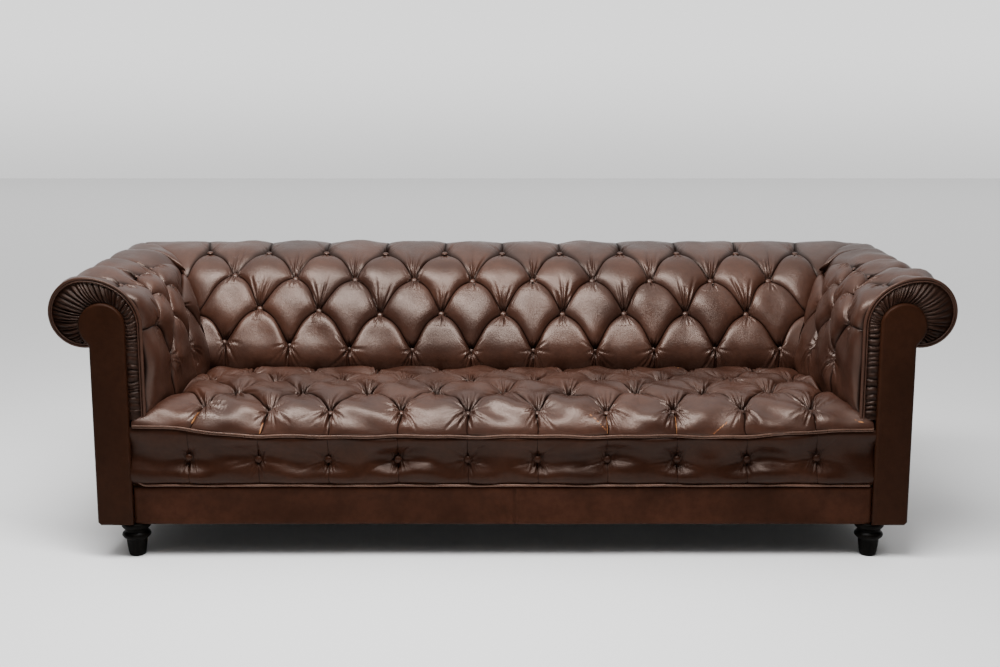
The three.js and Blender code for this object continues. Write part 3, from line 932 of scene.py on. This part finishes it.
def arm_mesh():
    mesh = bmesh.new()
    front = pleat(arm.knot(0, -1), arm.knot(1, 0))
    for q in (0, 2, 4):
        left, right = (arm.upright(0, q + step, step, arm_low_pleat) for step in (-1, 1))
        near = front if q == 0 else arm.edge((0, q - 1), (1, q))
        high = near, arm.edge((0, q + 1), (1, q))[::-1]
        swell = -0.02 if q == 0 else 0.0
        fill_patch(mesh, [left[0], right[0]], high, left, right, (0.42, 0.42, 0.4, 0.42), swell, wide=True)
    arm.fill_diamonds(mesh, 1, (1, 3, 5), 0.006)
    arm.fill_diamonds(mesh, 2, (2, 4), 0.006)
    top_v, first = arm.rows[3][0], arm.knot(2, 1)
    top_front = pleat(arm.rim(top_v, -1), arm.knot(3, 0))
    low, high = (front, arm.edge((1, 0), (2, 1))), (top_front, arm.edge((2, 1), (3, 0))[::-1])
    rim = arm.rim_line(arm.rows[1][0], top_v, -1)
    fill_patch(mesh, low, high, rim, [first, first], (0.5, 0.42, 0.5, 0.5), -0.002, wide=True)
    corner, edge = arm.knot(2, 5), arm.rim_line(top_v, arm_length, -1)
    rolled = {5: run(corner, (0.7, arm_length, -0.004), -0.006, 0.04)}
    for q in (0, 2, 4):
        knot = arm.knot(3, q)
        rolled[q] = run(knot, (knot[0] + 0.012 * q, arm_length, -0.011), -0.026, 0.04)
    fill_patch(mesh, top_front, [edge[-1], rolled[0][-1]], edge, rolled[0], ROLLED, -0.002)
    for q in (1, 3):
        low = arm.edge((2, q), (3, q - 1))[::-1], arm.edge((2, q), (3, q + 1))
        left, right = rolled[q - 1], rolled[q + 1]
        fill_patch(mesh, low, [left[-1], right[-1]], left, right, ROLLED, 0.008, wide=True)
    low, high = arm.edge((2, 5), (3, 4))[::-1], [rolled[4][-1], rolled[5][-1]]
    fill_patch(mesh, low, high, rolled[4], rolled[5], ROLLED, 0.008)
    rim = arm.rim_line(corner[1], arm_length, 1)
    fill_patch(mesh, [corner, corner], [rolled[5][-1], rim[-1]], rolled[5], rim, (0.36, 0.36, 0, 0), 0.002)
    return mesh


def on_arm(side):
    def place(a, v, h):
        x, z = arm_section.at(v, h)
        end = np.interp(v, arm_section.reach, arm_end)
        half = mitre_depth(end)
        rear = np.clip((a - 0.2) / (half - 0.2), 0, 1)
        x = x + rear**2 * (3 - 2 * rear) * (end - arm_section.at(v, 0 * h)[0])
        near = np.clip((a - half + MITRE_BLEND) / MITRE_BLEND, 0, 1)
        return side * x, FRONT + a + near * (mitre_depth(x) - half), z

    return place


arm_knots = [knot for _, _, knot in arm.buttons()]
for name, side, seed in (("left", -1, 10), ("right", 1, 20)):

    def arm_lift(flat, seed=seed):
        low = gather(flat, arm_knots[:2], 0.05, 0.08, 0.05, 0.02, seed)
        high = gather(flat, arm_knots[2:], 0.09, 0.045, 0.04, 0.022, seed + 1)
        return low + high + ripple(flat, 0.12, 0.004, seed + 2)

    mesh = arm_mesh()
    lay_on(mesh, on_arm(side), arm_lift, [(arm_knots[:2], 0.05, 0.06), (arm_knots[2:], 0.06, 0.045)])
    arm_cover = finish_piece(mesh, f"{name}_arm_cover", cover_leather, [f"{name}_arm_pad"])
    spots = [(a, v, h + 0.001) for a, v, h in arm_knots]
    button_heads(f"{name}_arm_buttons", spots, on_arm(side), 0.0085, cover_leather)


# ==== Welts =====================================================================
# Piping cord wrapped in leather and sewn into the seams above and below the border. The upper one rises
# towards the arms, where the seat's ears lift it.
def cord_along(name, paths, radius, finish, node_names):
    curve = bpy.data.curves.new(name, "CURVE")
    curve.dimensions = "3D"
    curve.bevel_depth = radius
    curve.bevel_resolution = 4
    curve.use_fill_caps = True
    for path in paths:
        spline = curve.splines.new("POLY")
        spline.points.add(len(path) - 1)
        for point, spot in zip(spline.points, path):
            point.co = (*spot, 1)
    cord = bpy.data.objects.new(name, curve)
    bpy.context.collection.objects.link(cord)
    curve.materials.append(finish)
    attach(cord, "root")
    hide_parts(*node_names)


across = np.linspace(-0.986, 0.986, 260)
wander = 0.0012 * np.sin(across * 19) + 0.0008 * np.sin(across * 43 + 1)
upper_welt = [
    np.stack([across, FRONT + d + wander, 0.3435 + dz + seat_lift_at(across) + wander], axis=1)
    for d, dz in ((0.0035, 0.0003), (0.005, -0.0042))
]
cord_along("seat_border_piping", upper_welt, 0.0023, piping_leather, ["seat_border_welt"])
curl = 0.018 * np.clip((-across - 0.955) / 0.031, 0, 1) ** 2
lower_welt = np.stack([across, FRONT + 0.0115 - wander, 0.2046 + 0.7 * wander + curl], axis=1)
cord_along("front_rail_piping", [lower_welt], 0.0034, piping_leather, ["front_rail_welt"])


# ==== Front rail ================================================================
# Leather drawn flat over the front rail, tighter under the welt, and joined near the middle by an upright
# seam that has puckered a little.
def board(node_name, corner, across, up, depth, lift, finish, steps):
    """A covered board whose seen face starts at a corner, spans across and up, and goes back by depth."""
    mesh = bmesh.new()
    verts = bmesh.ops.create_grid(mesh, x_segments=steps[0], y_segments=steps[1], size=0.5)["verts"]
    flat = np.array([v.co[:2] for v in verts]) + 0.5
    corner, across, up, depth = (np.array(x, float) for x in (corner, across, up, depth))
    span = np.array([np.linalg.norm(across), np.linalg.norm(up)])
    edge = (np.minimum(flat, 1 - flat) * span).min(axis=1)
    thick = np.linalg.norm(depth)
    rounded = thick * 0.6 * np.clip(1 - edge / 0.006, 0, 1) ** 2
    sunk = rounded - lift(*(flat * span).T)
    spots = corner + flat[:, :1] * across + flat[:, 1:] * up + sunk[:, None] * depth / thick
    for vert, spot in zip(verts, spots):
        vert.co = spot
    box_in(mesh, corner, depth)
    name = f"{node_name.removesuffix('_cover')}_leather"
    return finish_piece(mesh, name, finish, [node_name])


rail_low, rail_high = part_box("front_rail_cover")
SEAM_X = 0.033


def rail_lift(u, v):
    x = u + rail_low.x - SEAM_X
    seam = -0.0035 * np.exp(-((x / 0.0035) ** 2))
    near = np.exp(-(((x + 0.03) / 0.035) ** 2)) * np.exp(-(((v - 0.045) / 0.035) ** 2))
    pucker = 0.0012 * near * np.sin((x + 0.6 * v) * 330)
    slack = 0.0008 * np.sin(u * 7.3 + 2 * v) + 0.0006 * np.sin(u * 17 - 30 * v)
    drawn = np.exp(-(((v - rail_high.z + rail_low.z + 0.012) / 0.014) ** 2))
    slack = slack + drawn * (0.0014 + 0.0011 * np.sin(u * 26 + 3 * np.sin(u * 7)))
    return seam + pucker + slack + 0.0016 * np.exp(-(((x - 0.006) / 0.004) ** 2))


wide, deep, tall = rail_high - rail_low
sides = (wide, 0, 0), (0, 0, tall), (0, deep, 0)
board("front_rail_cover", rail_low, *sides, rail_lift, rail_leather, (700, 24))


# ==== Scroll fronts =============================================================
# Between each arm's rolled edge and its flat facing runs a band gathered into close pleats, with a thin cord
# along the seam. The facing is a shaped board wrapped in leather, painted dark as shade on its front.
head_x, head_z, HEAD_R = 1.055, 0.639, 0.061
STRAIGHT, ROUND = 150, 330


def scroll_line(points, arcs):
    """A rim of the band: a straight rise, then arcs, each (cx, cz, rx, rz, start, end, share of points)."""
    (x0, z0), (x1, z1) = points
    t = np.linspace(0, 1, STRAIGHT, endpoint=False)
    line = [np.stack([x0 + (x1 - x0) * t, z0 + (z1 - z0) * t], axis=1)]
    for cx, cz, rx, rz, start, end, share in arcs:
        turn = np.radians(np.linspace(start, end, round(ROUND * share), endpoint=share > 0.5))
        line.append(np.stack([cx + rx * np.cos(turn), cz + rz * np.sin(turn)], axis=1))
    return np.concatenate(line)


outer_line = scroll_line(
    [(0.960, 0.385), (0.960, 0.635)],
    [(1.104, 0.635, 0.144, 0.124, 180, 90, 0.45), (1.104, 0.673, 0.086, 0.086, 90, -98, 0.55)],
)
inner_line = scroll_line(
    [(0.998, 0.385), (0.998, head_z)],
    [(head_x, head_z, 0.057, 0.057, 180, 90, 0.45), (head_x, head_z, 0.057, 0.057, 90, -52, 0.55)],
)


def gathered_band(side, seed):
    picks = np.random.default_rng(seed)
    count, rows = len(outer_line), 15
    reach = np.concatenate([[0], np.cumsum(np.hypot(*np.diff(outer_line, axis=0).T))])
    pleats = np.cumsum(picks.uniform(0.5, 1.7, 90) * 0.0128)
    phase = np.interp(reach, pleats, np.arange(90.0))
    strength = np.interp(reach, pleats, picks.uniform(0.45, 1.0, 90))
    slip = np.interp(reach, pleats[::6], picks.uniform(-0.5, 0.5, 15))
    bend = np.interp(reach, pleats[::3], picks.uniform(-0.3, 0.3, 30))
    mesh = bmesh.new()
    fold = mesh.verts.layers.float.new("fold")
    grid = []
    for k in range(rows):
        t = k / (rows - 1)
        part = np.mod(phase + slip * t * t + bend * math.sin(5 * t), 1.0)
        wave = 1 - np.sin(np.pi * part**1.35)
        held = np.sin(np.pi * np.clip(t * 1.02, 0, 1)) ** 0.35
        width = np.hypot(*(outer_line - inner_line).T)
        bulge = 0.007 * np.sin(np.pi * t**0.8) * np.clip(width / 0.06, 0.45, 1)
        depth = 0.013 + 0.012 * t**3 - bulge + 0.0066 * strength * held * wave**0.8
        spots = inner_line + (outer_line - inner_line) * t
        row = [mesh.verts.new((side * x, FRONT + d, z)) for (x, z), d in zip(spots, depth)]
        # fold marks the pleats' valleys, where the leather paints shade.
        for vert, w in zip(row, wave * held * strength):
            vert[fold] = 0.15 + 0.8 * w
        grid.append(row)
    for low, high in zip(grid, grid[1:]):
        for i in range(count - 1):
            corners = (low[i], low[i + 1], high[i + 1], high[i])
            mesh.faces.new(corners if side > 0 else corners[::-1])
    bmesh.ops.solidify(mesh, geom=mesh.faces[:], thickness=0.004)
    bmesh.ops.recalc_face_normals(mesh, faces=mesh.faces)
    return mesh


def facing_mesh(low, high, side):
    """The facing's outline, turned over a rounded front edge."""
    turn = np.radians(np.linspace(180, -50, 60))
    outline = [(0.994, low.z), (0.994, 0.3), (0.994, 0.5)]
    outline += [(head_x + HEAD_R * math.cos(a), head_z + HEAD_R * math.sin(a)) for a in turn]
    outline += [(1.09, 0.585), (1.09, 0.4), (1.09, 0.2), (1.09, low.z + 0.008), (1.082, low.z)]
    mesh = bmesh.new()
    rim = [mesh.verts.new((side * x, high.y, z)) for x, z in outline]
    base = mesh.faces.new(rim)
    top = bmesh.ops.extrude_face_region(mesh, geom=[base])["geom"]
    front = [v for v in top if isinstance(v, bmesh.types.BMVert)]
    bmesh.ops.translate(mesh, verts=front, vec=(0, low.y - high.y, 0))
    bmesh.ops.recalc_face_normals(mesh, faces=mesh.faces)
    edges = [e for e in mesh.edges if all(v in front for v in e.verts)]
    round_over = {"offset": 0.008, "segments": 6, "profile": 0.5, "affect": "EDGES", "clamp_overlap": True}
    bmesh.ops.bevel(mesh, geom=edges, **round_over)
    return mesh


for name, side, seed in (("left", -1, 31), ("right", 1, 32)):
    mesh = gathered_band(side, seed)
    finish_piece(mesh, f"{name}_gathered_band", band_leather, [f"{name}_scroll_band"])
    away = outer_line - np.roll(outer_line, 1, axis=0)
    away[0] = away[1]
    away = np.stack([-away[:, 1], away[:, 0]], axis=1) / np.hypot(*away.T)[:, None]
    for rim, off, d, radius in (("piping", -0.0025, 0.0172, 0.0017), ("edge", 0.0038, 0.0225, 0.0048)):
        spots = outer_line + away * off
        cord = np.stack([side * spots[:, 0], np.full(len(spots), FRONT + d), spots[:, 1]], axis=1)
        cord_along(f"{name}_scroll_{rim}", [cord], radius, edge_leather, [f"{name}_scroll_welt"])
    low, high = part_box(f"{name}_facing")
    mesh = facing_mesh(low, high, side)
    finish_piece(mesh, f"{name}_shaded_facing_leather", shaded_facing_leather, [f"{name}_facing"])


# ==== Outside arms and back =====================================================
# Leather drawn over thin padding on board, under the overhang of the rolls.
def slack_panel(seed):
    def lift(u, v):
        return ripple(np.stack([u, v], axis=1), 0.35, 0.0012, seed)

    return lift


for name, side, seed in (("left", -1, 41), ("right", 1, 42)):
    low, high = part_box(f"{name}_outside_arm")
    outer, inner = (high.x, low.x) if side > 0 else (low.x, high.x)
    sides = (0, high.y - low.y, 0), (0, 0, high.z - low.z), (inner - outer, 0, 0)
    corner, lift = (outer, low.y, low.z), slack_panel(seed)
    board(f"{name}_outside_arm", corner, *sides, lift, cover_leather, (120, 80))
low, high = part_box("outside_back")
wide, deep, tall = high - low
sides = (wide, 0, 0), (0, 0, tall), (0, -deep, 0)
corner, lift = (low.x, high.y, low.z), slack_panel(43)
board("outside_back", corner, *sides, lift, cover_leather, (240, 80))


# ==== Feet ======================================================================
# Turned hardwood feet, lacquered black, each on a bolt.
def lacquer():
    made, shader, wire = material("black_lacquer", 0.4, Specular_IOR_Level=0.04)
    place = wire.node("ShaderNodeTexCoord", output=3)
    stretched = wire.node("ShaderNodeMapping", inputs={"Vector": place, "Scale": (60, 60, 9)})
    grain = noise(wire, stretched, 3.0, 5.0)
    rubbed = noise(wire, place, 45.0, 5.0)
    tone = grain.between(0.35, 0.7).mix(rgb(4, 3, 2), rgb(12, 9, 7))
    gloss = 0.36 + rubbed.between(0.35, 0.7) * 0.2
    dress(wire, shader, tone, gloss, grain, 0.25, 0.001)
    return made


black_lacquer = lacquer()
FOOT_PROFILE = [
    (0, 0.0), (16, 0.0), (19, 0.6), (21, 2), (22, 4), (23, 8), (24, 12), (26, 26), (27.4, 38), (27.8, 44),
    (28.6, 46.5), (30, 48.5), (32.6, 50.5), (36, 53.5), (38.3, 57), (38.6, 60), (37.6, 63.5), (35, 66.6),
    (32.8, 68.2), (31.8, 70), (31.2, 72.5), (32, 75), (34.5, 77.5), (37.5, 80.5), (39.8, 84), (40.4, 87.5),
    (40.2, 91), (39.4, 93.4), (38.2, 94.7), (0, 94.7),
]


def turned(profile):
    mesh = bmesh.new()
    verts = [mesh.verts.new((r * MM, 0, z * MM)) for r, z in profile]
    for a, b in zip(verts, verts[1:]):
        mesh.edges.new((a, b))
    outline = mesh.edges[:] + mesh.verts[:]
    turn = {"axis": (0, 0, 1), "cent": (0, 0, 0), "angle": math.tau}
    bmesh.ops.spin(mesh, geom=outline, steps=48, use_merge=True, **turn)
    bmesh.ops.remove_doubles(mesh, verts=mesh.verts, dist=MERGE)
    bmesh.ops.recalc_face_normals(mesh, faces=mesh.faces)
    return mesh


for node in ("left_front_foot", "right_front_foot", "left_rear_foot", "right_rear_foot"):
    low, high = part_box(node)
    mesh = turned(FOOT_PROFILE)
    bmesh.ops.translate(mesh, verts=mesh.verts, vec=((low.x + high.x) / 2, (low.y + high.y) / 2, low.z))
    finish_piece(mesh, f"{node}_turning", black_lacquer, [node])


# ==== Frame, springs and cloths =================================================
# The hidden frame keeps the drawn solids: beech rails and posts, plywood gussets, steel springs and bolts, a
# hessian sheet over the springs and a black cloth tacked underneath.
def wood(name, light, dark, rings):
    made, shader, wire = material(name, 0.7)
    place = wire.node("ShaderNodeTexCoord", output=3)
    stretched = wire.node("ShaderNodeMapping", inputs={"Vector": place, "Scale": rings})
    bands = noise(wire, stretched, 8.0, 6.0)
    tone = bands.between(0.3, 0.7).mix(light, dark)
    dress(wire, shader, tone, 0.6 + bands * 0.2, bands, 0.2, 0.001)
    return made


def woven(name, light, dark, threads):
    made, shader, wire = material(name, 0.9)
    place = wire.node("ShaderNodeTexCoord", output=3)
    thread = {"Vector": place, "Scale": threads, "Distortion": 0.4}
    weave = [wire.node("ShaderNodeTexWave", {"bands_direction": way}, thread) for way in ("X", "Y")]
    raised = weave[0] * weave[1]
    tone = raised.between(0.1, 0.8).mix(dark, light)
    dress(wire, shader, tone, 0.85 + raised * 0.1, raised, 0.5, 0.0006)
    return made


def steel():
    made, shader, wire = material("spring_steel", 0.4, 1.0)
    place = wire.node("ShaderNodeTexCoord", output=3)
    tarnish = noise(wire, place, 40.0, 5.0)
    tone = tarnish.between(0.35, 0.7).mix(rgb(150, 150, 152), rgb(105, 100, 96))
    dress(wire, shader, tone, 0.3 + tarnish * 0.3, tarnish, 0.2, 0.0005)
    return made


beech = wood("beech", rgb(196, 156, 112), rgb(160, 118, 78), (2, 2, 14))
plywood = wood("plywood", rgb(205, 170, 122), rgb(176, 138, 92), (60, 2, 2))
hessian = woven("hessian", rgb(160, 132, 92), rgb(96, 74, 46), 260)
black_cloth = woven("black_bottom_cloth", rgb(34, 33, 33), rgb(14, 14, 14), 420)
spring_steel = steel()
KINDS = (
    ("spring_rail", beech), ("_spring_", spring_steel), ("bolt", spring_steel), ("gusset", plywood),
    ("hessian", hessian), ("bottom_cloth", black_cloth), ("rail", beech), ("post", beech), ("block", beech),
)
for name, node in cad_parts.items():
    for word, finish in KINDS:
        if word in name:
            node.data.materials.clear()
            node.data.materials.append(finish)
            break
